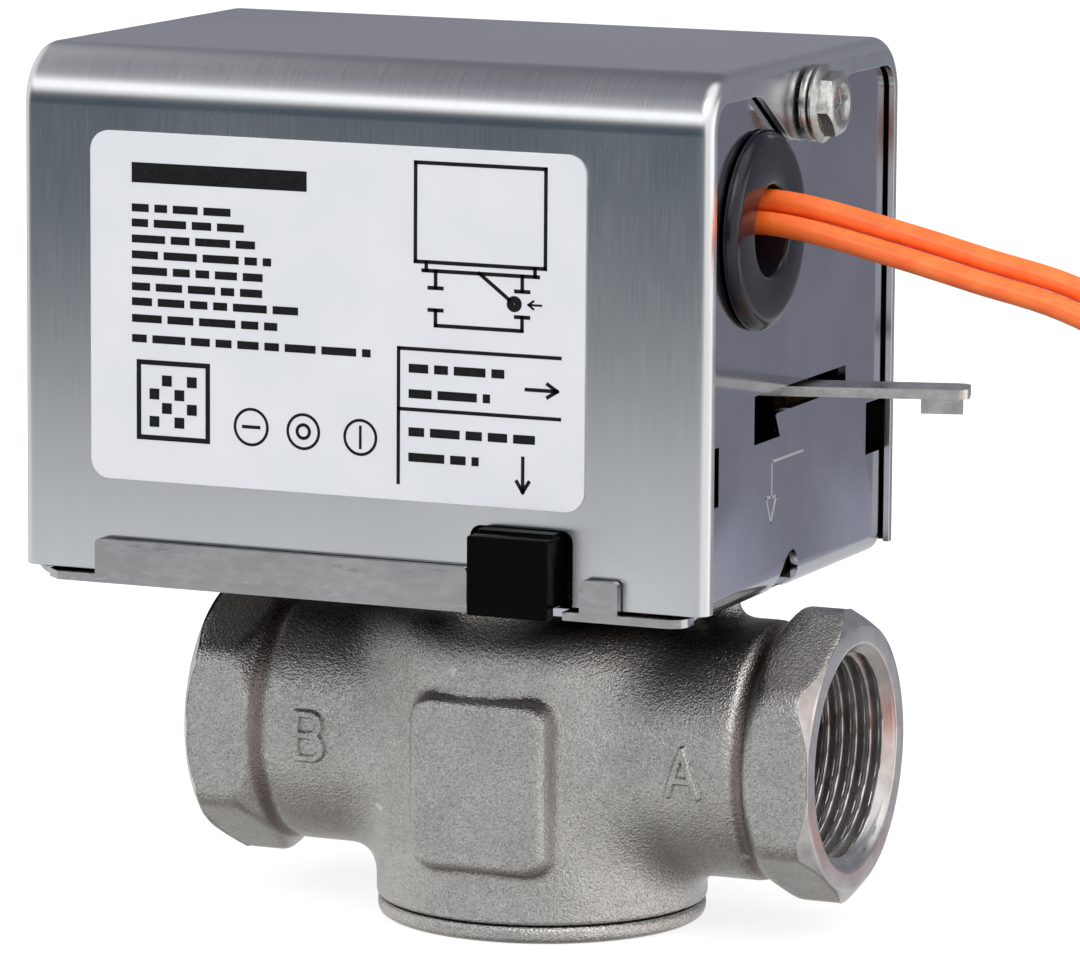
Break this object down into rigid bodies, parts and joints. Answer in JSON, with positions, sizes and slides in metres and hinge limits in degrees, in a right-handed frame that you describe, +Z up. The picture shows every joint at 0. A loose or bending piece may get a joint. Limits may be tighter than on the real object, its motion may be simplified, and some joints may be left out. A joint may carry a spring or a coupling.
{
  "type": "motorized zone valve actuator",
  "caption": "Spring-return motorized zone valve: folded sheet-metal actuator with manual lever, release button and orange leads, on a cast two-port paddle valve body.",
  "frame": {"origin": "centre of the bottom plug's face, which the valve stands on", "axes": "+X along the pipe axis towards port A, on the cable side; -Y the front with the label and the release button; +Z up along the stem"},
  "size_m": [0.1632, 0.0889, 0.1063],
  "materials": {
    "cast_stainless": "bead-blasted casting",
    "brushed_steel": "brushed",
    "plate_steel": "bright rolled",
    "zinc_steel": "zinc plated",
    "machined_steel": "turned",
    "brass": "turned",
    "black_rubber": "satin",
    "black_plastic": "gloss",
    "label_film": "matt film",
    "orange_insulation": "smooth",
    "white_plastic": "matt",
    "tinned_copper": "tinned strands",
    "spring_steel": "drawn wire",
    "gear_nylon": "moulded"
  },
  "bodies": {
    "frame": {"valve_body": "cast_stainless", "bottom_plug": "cast_stainless", "plug_o_ring": "black_rubber", "gland_washer": "machined_steel", "stem_o_ring": "black_rubber", "stem_bush": "brass", "base_chassis": "plate_steel", "cover": "brushed_steel", "cover_screw": "zinc_steel", "screw_washer": "zinc_steel", "clinch_nut": "zinc_steel", "label": "label_film", "cable_grommet": "black_rubber", "latch_rivet": "zinc_steel", "button_spring": "spring_steel", "return_spring": "spring_steel", "motor_plate": "plate_steel", "standoff_1": "brass", "standoff_2": "brass", "standoff_3": "brass", "standoff_4": "brass", "motor_gearcase": "zinc_steel", "motor_can": "brushed_steel", "motor_screw_1": "zinc_steel", "motor_screw_2": "zinc_steel", "lead_a": "orange_insulation", "lead_b": "orange_insulation", "lead_coil": "orange_insulation", "coil_tie": "black_plastic", "lead_a_tail": "orange_insulation", "lead_b_tail": "orange_insulation", "lead_a_end": "tinned_copper", "lead_b_end": "tinned_copper", "splice_a": "white_plastic", "splice_b": "white_plastic", "motor_lead_a": "white_plastic", "motor_lead_b": "white_plastic"},
    "drive": {"drive_hub": "gear_nylon", "sector_gear": "zinc_steel", "manual_lever": "zinc_steel", "lever_rivet_1": "zinc_steel", "lever_rivet_2": "zinc_steel", "valve_stem": "machined_steel", "paddle_arm": "machined_steel", "ball_pin": "machined_steel", "paddle_ball": "black_rubber", "stem_clip": "spring_steel"},
    "pinion": {"motor_pinion": "brass"},
    "button": {"release_button": "black_plastic", "latch_plate": "zinc_steel"}
  },
  "joints": [
    {"name": "drive_turn", "type": "hinge", "parent": "frame", "child": "drive", "pos_m": [0, -0.0115, 0.055], "axis": [0, 0, 1], "range_deg": [-23, 0], "stiffness_Nm_per_rad": 0.03, "springref_deg": 22.92, "deforming": ["return_spring"]},
    {"name": "pinion_turn", "type": "hinge", "parent": "frame", "child": "pinion", "pos_m": [-0.02598, 0.0035, 0.065], "axis": [0, 0, 1], "range_deg": [0, 92]},
    {"name": "button_press", "type": "slide", "parent": "frame", "child": "button", "axis": [0, 1, 0], "range_m": [0, 0.003], "stiffness_N_per_m": 250, "springref_m": -0.004, "deforming": ["button_spring"]}
  ],
  "couplings": [
    {"joint": "pinion_turn", "follows": "drive_turn", "ratio": -4}
  ]
}
